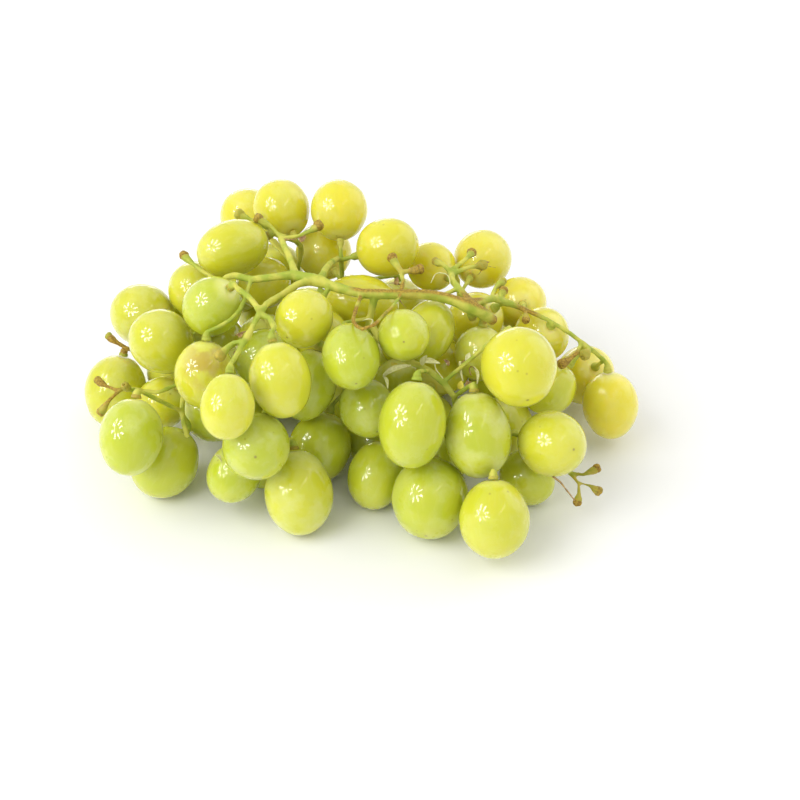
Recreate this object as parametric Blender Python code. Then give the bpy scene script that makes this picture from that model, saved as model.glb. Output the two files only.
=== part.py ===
"""A bunch of green table grapes lying on its side, with its bare stem along the top.

Each grape is a solid of its own. The stem is one solid, as it grew: the main stalk, its shoots, a
short stalk to each grape, the stalks that have lost their grapes, and one curled tendril. The
grapes pressed together inside the heap are joined in a few clusters.

The tables give lengths in millimetres, with the table top at z = 0, the stalk's cut end towards
+X and the low, open side of the heap towards -Y.
"""
import itertools
import math

import bmesh
import bpy
import numpy as np
from mathutils import Vector

MM = 0.001

# Driving dimensions, in millimetres.
GAP = 0.4  # clear space kept between neighbouring pieces
REST_DEPTH = 0.6  # how far a grape's underside is flattened where it rests
CLUSTER_WIDTH = 22.0  # across a grape of an inner cluster
CLUSTER_LENGTH = 23.0
STALK_RADIUS = 2.2  # at the cut end; it tapers towards the far end
SHOOT_RADIUS = 1.45
SHOOT_TIP = 1.0
FORK_RADIUS = 1.1  # where a shoot splits for its last grapes
GRAPE_STALK_RADIUS = 0.9
KNOB_RADIUS = 1.7  # the swelling where a grape sits, or sat
KNOB_END = 0.9  # a knob's flat end against its fullest width
KNOB_LENGTH = 1.6
TENDRIL_BASE = 0.9
TENDRIL_TIP = 0.6
STALK_STEP = 4.5  # between the points of a grape's stalk
SHOOT_STEP = 5.0  # between the points of a shoot
TENDRIL_STEP = 3.0
LEAD = 3.2  # how far a grape's stalk runs straight out of the grape
BOW = 10.0  # how far a stalk's first try is bent aside where the straight way is blocked
NEIGHBOURS = 36.0  # grapes further apart than this, middle to middle, can't touch
REACH = 60.0  # grapes further than this from a stalk's end can't block it
TOLERANCE = 0.02  # how deep a stalk may sit in a grape's clear space

RIPE_SIDE = 14.0  # grapes further back than this had the sun and are yellower
GRAPE_SIDES = 10
GRAPE_RINGS = 8
CLUSTER_RINGS = 7

SKIN = (0.55, 0.66, 0.12, 1.0)
YELLOW_SKIN = (0.72, 0.68, 0.10, 1.0)
STEM_GREEN = (0.38, 0.44, 0.13, 1.0)

# The stem's shoots: radius at the base, radius at the tip, and the route.
SHOOTS = {
    "stalk": (STALK_RADIUS, 1.6, [
        (47, 12, 57), (42, 10, 62), (33, 11, 66), (24, 12, 68), (13, 11, 69), (4, 11, 69),
        (-5, 13, 69), (-16, 18, 70), (-26, 23, 70),
    ]),
    "crown": (SHOOT_RADIUS, SHOOT_TIP, [
        (-25, 22, 70), (-28, 34, 71), (-32, 49, 70), (-30, 57, 66), (-26, 63, 59), (-28, 66, 47),
        (-30, 68, 36),
    ]),
    "shoulder": (1.5, SHOOT_TIP, [
        (-25, 23, 70), (-34, 21, 70), (-41, 21, 69), (-48, 29, 66), (-54, 33, 61), (-58, 32, 53),
        (-60, 28, 44), (-63, 19, 36), (-66, 8, 34), (-66, -8, 31), (-63, -19, 28),
    ]),
    "front": (SHOOT_RADIUS, SHOOT_TIP, [
        (-19, 19, 70), (-24, 16, 70), (-29, 9, 70), (-34, 1, 71), (-36, -6, 71), (-39, -16, 69),
        (-41, -22, 68), (-43, -28, 67),
    ]),
    "front_left": (FORK_RADIUS, FORK_RADIUS, [(-36, -3, 71), (-40, 4, 72), (-45, 9, 73)]),
    "front_right": (FORK_RADIUS, FORK_RADIUS, [(-36, -5, 71), (-32, -8, 71), (-30, -14, 71)]),
    "core": (SHOOT_RADIUS, SHOOT_TIP, [
        (4, 11, 69), (2, 9, 60), (0, 8, 50), (-5, 6, 39), (-8, 8, 28), (-9, 10, 18),
    ]),
    "keel": (SHOOT_RADIUS, SHOOT_TIP, [
        (-4, 6, 41), (-15, 14, 30), (-27, 12, 27), (-35, 2, 28), (-38, -13, 28),
    ]),
    "fall": (SHOOT_RADIUS, SHOOT_TIP, [
        (2, 9, 59), (5, 3, 56), (10, -3, 53), (16, -5, 51), (23, -8, 49), (28, -11, 46),
        (32, -14, 42), (32, -14, 34), (29, -12, 27), (21, -10, 25), (12, -6, 26),
    ]),
    "apron": (SHOOT_RADIUS, SHOOT_TIP, [
        (30, -13, 29), (36, -13, 21), (45, -14, 17), (55, -6, 21),
    ]),
    "right": (SHOOT_RADIUS, SHOOT_TIP, [
        (37, 11, 65), (42, 16, 63), (47, 21, 61), (52, 23, 58), (59, 23, 55), (67, 21, 52),
        (76, 19, 47), (82, 18, 42), (86, 20, 38), (90, 22, 33),
    ]),
    "back": (SHOOT_RADIUS, SHOOT_TIP, [
        (38, 11, 65), (35, 20, 65), (32, 27, 65), (32, 34, 64), (33, 42, 60), (35, 49, 52),
        (36, 50, 41),
    ]),
    "behind": (SHOOT_RADIUS, SHOOT_TIP, [
        (-16, 18, 70), (-15, 29, 68), (-13, 44, 63), (-10, 54, 58), (-10, 57, 46),
    ]),
}

# The grapes of each shoot: where the middle is (x, y, z), the width, the length and, where the
# grape doesn't simply point at its shoot, which way its stem end looks: the heading turned from +X
# towards +Y, and the lift above level, both in degrees.
GRAPES = {
    "crown": [
        (-49, 92, 56, 23, 25), (-34, 77, 68, 22, 24), (-41, 57, 46, 20, 22),
        (-51, 44, 68, 21, 28, 28, 6),
    ],
    "behind": [
        (-11, 70, 71, 22, 24), (-18, 75, 50, 22, 24), (8, 50, 66, 22, 24),
        (-2, 33, 51, 21, 28, 170, 10),
    ],
    "shoulder": [
        (-67, 50, 46, 22, 24), (-88, 48, 37, 24, 26), (-75, 15, 46, 23, 25),
        (-97, 23, 18, 23, 28, 60, 60), (-77, 11, 21, 19, 22), (-75, 32, 21, 21, 23),
        (-81, -27, 34, 22, 27, 80, 50), (-57, -6, 46, 21, 24, 80, 60),
        (-73, -15, 13, 24, 27, 40, 40), (-57, 2, 23, 21, 23),
    ],
    "front_left": [(-55, 14, 62, 21, 23, -15, 50)],
    "front": [(-44, -41, 57, 18, 22, 85, 50)],
    "front_right": [(-28, -26, 57, 21, 26, 110, 55)],
    "stalk": [(-23, 3, 66, 20, 22, 60, 10)],
    "core": [
        (-38, 11, 42, 20, 22, 20, 20), (-20, -3, 40, 20, 26, 60, 55), (-16, 17, 47, 20, 21),
        (-4, -15, 60, 20, 25, 100, 15), (1, -10, 34, 20, 22), (-16, -9, 15, 23, 26, 60, 55),
        (4, 2, 10, 20, 21),
    ],
    "keel": [
        (-36, -36, 37, 23, 25), (-46, -27, 18, 19, 22), (-23, -33, 15, 24, 30, 100, 52),
        (-38, -11, 9, 18, 19),
    ],
    "fall": [
        (17, -33, 44, 23, 30, 80, 55), (40, -28, 36, 23, 30, 100, 58),
        (53, -20, 58, 26, 28, 100, 20), (14, -8, 64, 18, 20, 90, -20),
        (4, -21, 12, 20, 25, 75, 50), (24, -36, 14, 27, 29), (30, 18, 30, 20, 21),
    ],
    "apron": [
        (45, -52, 18, 24, 27, 100, 40), (59, -20, 10, 19, 21), (66, -27, 31, 23, 26),
    ],
    "right": [
        (66, 30, 40, 21, 24), (93, 15, 17, 21, 26, 110, 70), (86, 38, 15, 23, 26),
        (68, 11, 28, 20, 21), (42, 10, 44, 19, 20), (41, 31, 44, 21, 23), (59, 51, 39, 21, 23),
    ],
    "back": [
        (25, 63, 50, 19, 21), (46, 72, 48, 23, 24), (23, 10, 54, 19, 23, 60, 40),
    ],
}

# The clusters inside and under the back of the heap: the middles of their grapes.
CLUSTERS = {
    "shoulder": [(-81, 58, 11), (-62, 66, 11), (-70, 62, 28)],
    "crown": [(-46, 90, 11), (-26, 89, 11), (-55, 84, 28), (-38, 81, 37)],
    "behind": [(-1, 84, 11), (19, 80, 11), (-7, 74, 26), (12, 70, 27)],
    "back": [
        (42, 74, 11), (60, 66, 11), (45, 60, 25), (62, 47, 11), (62, 32, 17), (50, 22, 26),
        (52, 6, 14),
    ],
    "keel": [
        (-50, 44, 11), (-31, 50, 11), (-40, 41, 28), (-22, 33, 15), (-46, 25, 13), (-8, 24, 12),
    ],
    "core": [(5, 46, 11), (25, 46, 11), (16, 42, 28), (13, 27, 17), (23, 9, 13), (27, -10, 11)],
}

# Stalks that have lost their grapes, from the shoot to the knob.
BARE_STALKS = [
    [(-40, -19, 69), (-44, -19, 68), (-48, -24, 66)],
    [(58, 23, 55), (59, 21, 55), (59, 17, 54)],
    [(80, 18, 43), (78, 12, 43), (72, 6, 42)],
    [(81, 18, 42), (83, 15, 43), (81, 12, 42)],
    [(46, 21, 61), (48, 27, 62), (51, 31, 62)],
    [(49, 22, 60), (50, 24, 61), (51, 26, 61)],
    [(37, 11, 64), (38, 13, 61), (39, 13, 58)],
    [(32, 34, 64), (29, 37, 66), (26, 39, 66)],
    [(32, 36, 64), (37, 40, 66), (40, 47, 65)],
    [(32, 33, 64), (38, 38, 64), (44, 43, 62)],
    [(13, 11, 69), (14, 18, 70), (13, 22, 72), (10, 26, 75)],
    [(13, 21, 72), (16, 22, 72), (20, 23, 72)],
    [(-32, 49, 70), (-25, 50, 71), (-18, 52, 74)],
    [(-32, 50, 70), (-36, 53, 73), (-41, 54, 76)],
    [(-31, 52, 69), (-40, 58, 71), (-49, 61, 74)],
    [(-54, 33, 61), (-61, 37, 63), (-69, 45, 65)],
    [(-66, 8, 34), (-76, 1, 33), (-85, 2, 34), (-91, 0, 35), (-98, 4, 36)],
    [(-89, 0, 35), (-93, -4, 33), (-96, -6, 29)],
    [(-82, 1, 34), (-85, -3, 37), (-86, -5, 40)],
    [(-60, 28, 44), (-72, 34, 34), (-85, 31, 31), (-91, 27, 35), (-98, 29, 39)],
    [(55, -7, 21), (67, -8, 15), (73, -17, 12), (77, -26, 12), (76, -33, 9)],
    [(75, -20, 12), (79, -22, 13), (84, -20, 14)],
    [(77, -25, 12), (81, -27, 12), (84, -28, 10)],
]

TENDRIL = [
    (-1, 11, 68), (-2, 5, 69), (-3, -4, 70), (-3, -12, 72), (0, -18, 73), (4, -17, 74),
    (7, -11, 74), (10, -4, 73), (12, 4, 71), (13, 10, 69),
]


class Grape:
    """An oval grape: its middle, its axis towards the stem end, its width and its length."""

    def __init__(self, row, shoot=None):
        self.middle = np.array(row[:3], float)
        self.width, self.length = row[3:5]
        self.shoot = shoot
        self.fixed = shoot is None
        if len(row) == 7:
            self.axis = heading(*row[5:])
        elif shoot is None:
            self.axis = np.array((0.0, 0.0, 1.0))
        else:
            self.axis = unit(nearest_point(SHOOTS[shoot][2], self.middle) - self.middle)

    def push(self, points, clearance):
        """How far each point has to move to be that clear of the skin."""
        radius = self.width / 2
        half = self.length / 2 - radius
        along = np.clip((points - self.middle) @ self.axis, -half, half)
        away = points - self.middle - along[:, None] * self.axis
        distance = np.linalg.norm(away, axis=1)[:, None] + 1e-6
        return away / distance * np.maximum(radius + clearance - distance, 0)

    def spine(self):
        """Three points along the grape that stand for it when its neighbours look for room."""
        half = (self.length - self.width) / 2
        return np.array([self.middle + self.axis * half * side for side in (-1, 0, 1)])

    def tip(self, distance):
        """The point that far out from the stem end."""
        return self.middle + self.axis * (self.length / 2 + distance)


def unit(vector):
    return vector / np.linalg.norm(vector)


def heading(turn, lift):
    turn, lift = math.radians(turn), math.radians(lift)
    level = math.cos(lift)
    return np.array((level * math.cos(turn), level * math.sin(turn), math.sin(lift)))


def dense(route, step=2.0):
    """The route with a point about every `step` millimetres."""
    route = np.array(route, float)
    points = [route[0]]
    for start, end in zip(route[:-1], route[1:]):
        count = max(1, round(np.linalg.norm(end - start) / step))
        points += [start + (end - start) * i / count for i in range(1, count + 1)]
    return np.array(points)


def nearest_point(route, place):
    points = dense(route)
    return points[np.argmin(np.linalg.norm(points - place, axis=1))]


def settle(grapes, passes=400, ease=0.7):
    """Moves the grapes apart, above the table and off the shoots, until none touch."""
    shoots = np.vstack([dense(route) for _, _, route in SHOOTS.values()])
    bare = np.vstack([dense(route) for route in BARE_STALKS])
    loose = [grape for grape in grapes if not grape.fixed]
    for _ in range(passes):
        for grape in loose:
            move = np.zeros(3)
            for other in grapes:
                if other is grape:
                    continue
                if np.linalg.norm(other.middle - grape.middle) > NEIGHBOURS:
                    continue
                pushes = other.push(grape.spine(), grape.width / 2 + GAP)
                share = 1.0 if other.fixed else 0.5
                move += share * pushes[np.argmax(np.linalg.norm(pushes, axis=1))]
            for twigs, room in ((shoots, SHOOT_RADIUS + GAP), (bare, GRAPE_STALK_RADIUS + GAP)):
                pushes = grape.push(twigs, room)
                move -= pushes[np.argmax(np.linalg.norm(pushes, axis=1))]
            low = (grape.spine()[:, 2]).min() - grape.width / 2
            move[2] += max(0.0, -low)
            grape.middle = grape.middle + ease * move
            turn_stem_end(grape, grapes)


def turn_stem_end(grape, grapes, ease=0.3):
    """Turns the grape a little where a neighbour blocks its stem end."""
    lead = grape.tip(LEAD)[None, :]
    push = np.zeros(3)
    for other in grapes:
        if other is not grape:
            push += other.push(lead, GRAPE_STALK_RADIUS + 2 * GAP)[0]
    if push.any():
        grape.axis = unit(grape.axis + ease * push / grape.length)


def depth_in(points, grapes, radius):
    """How deep the worst point of a stalk sits inside a grape's clear space."""
    return max(np.linalg.norm(grape.push(points, radius), axis=1).max() for grape in grapes)


def tighten(points, grapes, radius, passes=150):
    """A band stretched between fixed ends, kept off every grape; its last passes pull gently."""
    points = points.copy()
    for turn in range(passes):
        middle = (points[:-2] + points[2:]) / 2
        pull = 0.5 if turn < passes * 0.8 else 0.1
        points[1:-1] += pull * (middle - points[1:-1])
        for grape in grapes:
            points[1:-1] += grape.push(points[1:-1], radius)
    return points


def bows():
    """Ways to bend a stalk: straight first, then aside, up and down."""
    yield np.zeros(3)
    for up, across, along in itertools.product((0, BOW, -BOW), (-BOW, 0, BOW), (-BOW, 0, BOW)):
        yield np.array((across, along, up), float)


def stalk_route(grape, grapes):
    """The stalk from the shoot to the grape's stem end, by the first way round that is clear."""
    end = grape.tip(LEAD)
    start = nearest_point(SHOOTS[grape.shoot][2], end)
    near = [other for other in grapes if np.linalg.norm(other.middle - end) < REACH]
    count = max(4, round(np.linalg.norm(end - start) / STALK_STEP))
    steps = np.linspace(0, 1, count + 1)[:, None]
    best, best_depth = None, math.inf
    for bow in bows():
        straight = start + (end - start) * steps
        points = tighten(straight + np.sin(math.pi * steps) * bow, near, GRAPE_STALK_RADIUS + 1.5 * GAP)
        depth = depth_in(points[1:], near, GRAPE_STALK_RADIUS + 0.5 * GAP)
        if depth < best_depth:
            best, best_depth = points, depth
        if depth < TOLERANCE:
            break
    return np.vstack([best, grape.tip(GAP)])


def material(name, colour, roughness):
    made = bpy.data.materials.new(name)
    made.use_nodes = True
    shader = made.node_tree.nodes["Principled BSDF"]
    shader.inputs["Base Color"].default_value = colour
    shader.inputs["Roughness"].default_value = roughness
    shader.inputs["Metallic"].default_value = 0.0
    made.diffuse_color = colour
    return made


def grape_mesh(name, grape, rings=GRAPE_RINGS):
    """An oval with its poles on the grape's axis, flattened where it meets the table."""
    mesh = bpy.data.meshes.new(name)
    shape = bmesh.new()
    bmesh.ops.create_uvsphere(shape, u_segments=GRAPE_SIDES, v_segments=rings, radius=0.5)
    turn = Vector((0, 0, 1)).rotation_difference(Vector(grape.axis)).to_matrix()
    bmesh.ops.scale(shape, vec=(grape.width, grape.width, grape.length), verts=shape.verts)
    bmesh.ops.rotate(shape, matrix=turn, verts=shape.verts)
    bmesh.ops.translate(shape, vec=Vector(grape.middle), verts=shape.verts)
    if min(vertex.co.z for vertex in shape.verts) < REST_DEPTH:
        geometry = shape.verts[:] + shape.edges[:] + shape.faces[:]
        cut = bmesh.ops.bisect_plane(
            shape, geom=geometry, plane_co=(0, 0, REST_DEPTH), plane_no=(0, 0, -1), clear_outer=True
        )
        rim = [item for item in cut["geom_cut"] if isinstance(item, bmesh.types.BMEdge)]
        bmesh.ops.edgeloop_fill(shape, edges=rim)
    bmesh.ops.scale(shape, vec=(MM, MM, MM), verts=shape.verts)
    bmesh.ops.recalc_face_normals(shape, faces=shape.faces)
    shape.to_mesh(mesh)
    shape.free()
    mesh.shade_smooth()
    return mesh


def add_object(name, mesh, collection, surface):
    made = bpy.data.objects.new(name, mesh)
    made.data.materials.append(surface)
    collection.objects.link(made)
    return made


def tube(name, points, radii, sides_setting, collection, surface):
    """A closed mesh tube through the points, with its own radius at each."""
    curve = bpy.data.curves.new(name, "CURVE")
    curve.dimensions = "3D"
    curve.bevel_depth = MM
    curve.bevel_resolution = sides_setting
    curve.use_fill_caps = True
    spline = curve.splines.new("POLY")
    spline.points.add(len(points) - 1)
    for point, place, radius in zip(spline.points, points, radii):
        point.co = (place[0] * MM, place[1] * MM, place[2] * MM, 1.0)
        point.radius = radius
    guide = bpy.data.objects.new(name + "_guide", curve)
    collection.objects.link(guide)
    evaluated = guide.evaluated_get(bpy.context.evaluated_depsgraph_get())
    mesh = bpy.data.meshes.new_from_object(evaluated)
    shape = bmesh.new()
    shape.from_mesh(mesh)
    bmesh.ops.remove_doubles(shape, verts=shape.verts, dist=1e-6)
    bmesh.ops.recalc_face_normals(shape, faces=shape.faces)
    shape.to_mesh(mesh)
    shape.free()
    made = add_object(name, mesh, collection, surface)
    made.matrix_world = guide.matrix_world
    bpy.data.objects.remove(guide)
    return made


def smooth_route(route, step=SHOOT_STEP):
    """The route's own points joined by a smooth curve, sampled about every `step` millimetres."""
    route = np.array(route, float)
    padded = np.vstack([2 * route[0] - route[1], route, 2 * route[-1] - route[-2]])
    points = []
    for a, b, c, d in zip(padded[:-3], padded[1:-2], padded[2:-1], padded[3:]):
        count = max(1, round(np.linalg.norm(c - b) / step))
        for t in np.arange(count) / count:
            points.append(0.5 * (2 * b + (c - a) * t + (2 * a - 5 * b + 4 * c - d) * t ** 2
                                 + (3 * b - a - 3 * c + d) * t ** 3))
    points.append(route[-1])
    return np.array(points)


def with_knob(points, radius):
    """Radii along a grape's stalk: slim, and swollen into a knob at its end."""
    radii = [radius] * (len(points) - 1) + [KNOB_RADIUS * KNOB_END]
    direction = unit(points[-1] - points[-2])
    neck = points[-1] - direction * KNOB_LENGTH
    return np.vstack([points[:-1], neck, points[-1]]), radii[:-1] + [KNOB_RADIUS, radii[-1]]


def make_stem(grapes, clusters, collection, shoots, surface):
    """The whole stem: the main stalk joined with everything that grows from it."""
    stem = None
    for name, (base, tip, route) in SHOOTS.items():
        points = smooth_route(route)
        radii = np.linspace(base, tip, len(points))
        owner = collection if stem is None else shoots
        sides = 2 if stem is None else 1
        made = tube("stem" if stem is None else "shoot_" + name, points, radii, sides, owner, surface)
        stem = stem or made
    for grape in [grape for grape in grapes if not grape.fixed] + clusters:
        points, radii = with_knob(stalk_route(grape, grapes), GRAPE_STALK_RADIUS)
        tube("grape_stalk", points, radii, 1, shoots, surface)
    for route in BARE_STALKS:
        points, radii = with_knob(smooth_route(route), GRAPE_STALK_RADIUS)
        tube("bare_stalk", points, radii, 1, shoots, surface)
    points = smooth_route(TENDRIL, TENDRIL_STEP)
    radii = np.linspace(TENDRIL_BASE, TENDRIL_TIP, len(points))
    tube("tendril", points, radii, 1, shoots, surface)
    join = stem.modifiers.new("shoots", "BOOLEAN")
    join.operation = "UNION"
    join.operand_type = "COLLECTION"
    join.collection = shoots
    join.solver = "EXACT"
    return stem


def hide_cutter(cutter):
    cutter.hide_render = True
    cutter.display_type = "WIRE"


def make_cluster(name, grapes, collection, cutters, surface):
    """Grapes pressed into each other, joined as one solid."""
    first = add_object(name, grape_mesh(name, grapes[0], CLUSTER_RINGS), collection, surface)
    for index, grape in enumerate(grapes[1:]):
        mesh = grape_mesh(f"{name}_{index}", grape, CLUSTER_RINGS)
        other = add_object(f"{name}_{index}", mesh, cutters, surface)
        hide_cutter(other)
        join = first.modifiers.new(f"grape_{index}", "BOOLEAN")
        join.operation = "UNION"
        join.object = other
        join.solver = "EXACT"
    return first


def stand_on_origin(grapes, collections):
    """Parents every object to an empty that brings the bunch's bottom centre to the origin."""
    places = np.array([vertex.co for grape in grapes for vertex in grape.data.vertices])
    low, high = places.min(axis=0), places.max(axis=0)
    anchor = bpy.data.objects.new("bunch_origin", None)
    anchor.location = (-(low[0] + high[0]) / 2, -(low[1] + high[1]) / 2, -low[2])
    collections[0].objects.link(anchor)
    for collection in collections:
        for thing in collection.objects:
            if thing is not anchor:
                thing.parent = anchor


def new_collection(name):
    made = bpy.data.collections.new(name)
    bpy.context.scene.collection.children.link(made)
    return made


def main():
    for thing in list(bpy.data.objects):
        bpy.data.objects.remove(thing, do_unlink=True)
    bunch = new_collection("grape_bunch")
    shoots = new_collection("stem_shoots")
    cutters = new_collection("cluster_grapes")
    grapes = [Grape(row, shoot) for shoot, rows in GRAPES.items() for row in rows]
    clusters = {
        shoot: [Grape((*middle, CLUSTER_WIDTH, CLUSTER_LENGTH)) for middle in middles]
        for shoot, middles in CLUSTERS.items()
    }
    inner = [grape for cluster in clusters.values() for grape in cluster]
    settle(grapes + inner)
    tops = []
    for shoot, cluster in clusters.items():
        top = max(cluster, key=lambda grape: grape.middle[2])
        top.shoot = shoot
        tops.append(top)
    skin = material("grape_skin", SKIN, 0.35)
    yellow = material("ripe_grape_skin", YELLOW_SKIN, 0.35)
    stem_green = material("stem_green", STEM_GREEN, 0.75)
    make_stem(grapes + inner, tops, bunch, shoots, stem_green)
    for shoot in shoots.objects:
        hide_cutter(shoot)
    solids = []
    for number, grape in enumerate(grapes, 1):
        name = f"grape_{number:02d}"
        ripe = grape.middle[1] > RIPE_SIDE
        solids.append(add_object(name, grape_mesh(name, grape), bunch, yellow if ripe else skin))
    for number, cluster in enumerate(clusters.values(), 1):
        solids.append(make_cluster(f"inner_grapes_{number}", cluster, bunch, cutters, skin))
    stand_on_origin(solids + list(cutters.objects), [bunch, shoots, cutters])


main()
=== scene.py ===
"""The looks of a bunch of green table grapes lying on its side: translucent skins under a thin waxy
bloom, a fresh green stem that browns at its knots, its cut end and its bare stalk ends, one curled
tendril and a few dried flower remains. Metres throughout, except where a name ends in _MM."""
import math
import random

import bpy
import numpy as np
from mathutils import Matrix, Vector, noise


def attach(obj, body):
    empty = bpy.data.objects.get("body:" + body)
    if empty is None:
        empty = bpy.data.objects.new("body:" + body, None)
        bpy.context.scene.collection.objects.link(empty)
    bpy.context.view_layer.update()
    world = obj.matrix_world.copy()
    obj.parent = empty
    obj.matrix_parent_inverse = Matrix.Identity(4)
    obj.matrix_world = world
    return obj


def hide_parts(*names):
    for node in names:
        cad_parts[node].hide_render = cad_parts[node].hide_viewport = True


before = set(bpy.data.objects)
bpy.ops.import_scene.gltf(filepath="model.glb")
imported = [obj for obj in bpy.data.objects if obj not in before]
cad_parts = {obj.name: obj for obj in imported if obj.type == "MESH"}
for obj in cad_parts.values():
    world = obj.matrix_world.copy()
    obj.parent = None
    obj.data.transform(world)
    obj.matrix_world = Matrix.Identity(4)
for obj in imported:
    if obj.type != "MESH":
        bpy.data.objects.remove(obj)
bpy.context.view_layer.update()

MM = 0.001

# The bunch's own frame against the one its routes are drawn in: the middle of its footprint.
ROUTE_SHIFT_MM = np.array((2.66, -19.28, -0.6))

GRAPES = [f"grape_{number:02d}" for number in range(1, 54)]
GRAPE_SEGMENTS = 40
GRAPE_RINGS = 28
INNER_SEGMENTS = 28
INNER_RINGS = 20
SWELL_MM = 0.12  # skins reach this far past the solids, so that neighbours seem to touch
SKIN_LUMPS = 0.012  # how uneven a grape's outline is, as a share of its size
REST_BAND = 0.0004  # skin lower than this lies flat on the surface, in metres
REST_HEIGHT = 0.0001

STEM_VOXEL_MM = 0.47
STEM_SWELL_MM = 0.04
STEM_LUMP_MM = 0.14
STEM_RIDGE_MM = 0.05
KNOT_REACH_MM = 5.5  # how far the brown of a torn end runs up its stalk
COLLAR_REACH = 0.0042  # and that of a grape's collar, in metres
COLLAR_RADIUS_MM = 1.75
COLLAR_DEPTH_MM = 0.9
KNOB_RADIUS_MM = 1.95

# Grapes of each inner cluster, as their middles along the routes' frame.
CLUSTERS = {
    "inner_grapes_1": [(-81, 58, 11), (-62, 66, 11), (-70, 62, 28)],
    "inner_grapes_2": [(-46, 90, 11), (-26, 89, 11), (-55, 84, 28), (-38, 81, 37)],
    "inner_grapes_3": [(-1, 84, 11), (19, 80, 11), (-7, 74, 26), (12, 70, 27)],
    "inner_grapes_4": [
        (42, 74, 11), (60, 66, 11), (45, 60, 25), (62, 47, 11), (62, 32, 17), (50, 22, 26), (52, 6, 14),
    ],
    "inner_grapes_5": [
        (-50, 44, 11), (-31, 50, 11), (-40, 41, 28), (-22, 33, 15), (-46, 25, 13), (-8, 24, 12),
    ],
    "inner_grapes_6": [
        (5, 46, 11), (25, 46, 11), (16, 42, 28), (13, 27, 17), (23, 9, 13), (27, -10, 11),
    ],
}
INNER_WIDTH_MM = 22.0
INNER_LENGTH_MM = 23.0

# Where grapes came off: the last two points of each bare stalk, the knob last.
BARE_ENDS = [
    ((-44, -19, 68), (-48, -24, 66)), ((59, 21, 55), (59, 17, 54)), ((78, 12, 43), (72, 6, 42)),
    ((83, 15, 43), (81, 12, 42)), ((48, 27, 62), (51, 31, 62)), ((50, 24, 61), (51, 26, 61)),
    ((38, 13, 61), (39, 13, 58)), ((29, 37, 66), (26, 39, 66)), ((37, 40, 66), (40, 47, 65)),
    ((38, 38, 64), (44, 43, 62)), ((13, 22, 72), (10, 26, 75)), ((16, 22, 72), (20, 23, 72)),
    ((-25, 50, 71), (-18, 52, 74)), ((-36, 53, 73), (-41, 54, 76)), ((-40, 58, 71), (-49, 61, 74)),
    ((-61, 37, 63), (-69, 45, 65)), ((-91, 0, 35), (-98, 4, 36)), ((-93, -4, 33), (-96, -6, 29)),
    ((-85, -3, 37), (-86, -5, 40)), ((-91, 27, 35), (-98, 29, 39)), ((77, -26, 12), (76, -33, 9)),
    ((79, -22, 13), (84, -20, 14)), ((81, -27, 12), (84, -28, 10)),
]

# The numbers, in the list above, of the stalks whose knobs stayed small, and how small.
SMALL_KNOBS = (1, 4, 5, 6, 7, 16, 17, 18, 19, 20, 21, 22)
SMALL_KNOB = 0.8

# Places where the stem is thicker, or thinner, than its solid: the place, the reach, the height.
STEM_JOINTS = [
    (38, 11, 64, 8, 0.75), (47, 12, 57, 5, -0.7), (-19, 19, 70, 7, 0.8), (-26, 22, 70, 6, 0.6),
    (4, 11, 69, 5, 0.3), (-16, 18, 70, 6, 0.5), (32, 34, 64, 5, 0.4), (-36, -4, 71, 4, 0.5),
    (-39, -17, 69, 4, 0.5), (82, 18, 42, 4, 0.4), (-32, 49, 70, 4, 0.5), (-60, 28, 44, 4, 0.3),
    (52, 23, 58, 4, 0.3), (14, 22, 72, 3, 0.3), (-9, 14, 69, 8, 0.25), (60, 23, 55, 9, -0.5),
    (70, 22, 50, 9, -0.5), (78, 20, 45, 7, -0.4), (84, 14, 40, 7, -0.3), (79, -26, 12, 9, -0.5),
    (-94, -1, 34, 8, -0.4),
]

# Stretches of the stem that have turned brown: the place, the reach, and how brown.
BROWN_STRETCHES = [
    (48, 12, 56, 7, 1.0), (60, 23, 55, 8, 0.75), (52, 23, 58, 4, 0.3), (75, 9, 42, 8, 1.0),
    (-3, -4, 70, 8, 1.0), (-2, -14, 72, 8, 1.0), (3, -18, 74, 6, 1.0), (8, -9, 74, 9, 0.6),
    (-95, -1, 35, 10, 0.9), (-93, 28, 37, 12, 0.9), (80, -26, 11, 13, 0.5), (42, 41, 63, 4, 0.5),
    (14, 22, 72, 5, 0.45), (18, 22, 72, 5, 0.7), (24, 12, 69, 8, 0.35), (16, 11, 71, 9, 0.45),
    (30, 12, 68, 6, 0.3), (-29, 8, 72, 6, 0.3), (2, 10, 70, 6, 0.3), (-36, -5, 71, 3, 0.4),
    (-19, 52, 73, 4, 0.3),
]

# The sunny edge of the main stalk, browned along its length: the places, the reach, how brown.
SUNNY_EDGE = [(2, 10, 70), (9, 11, 71), (16, 11, 71), (24, 12, 69), (31, 12, 67), (38, 11, 63)]
SUNNY_WAY = (0.0, 0.59, 0.81)

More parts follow.
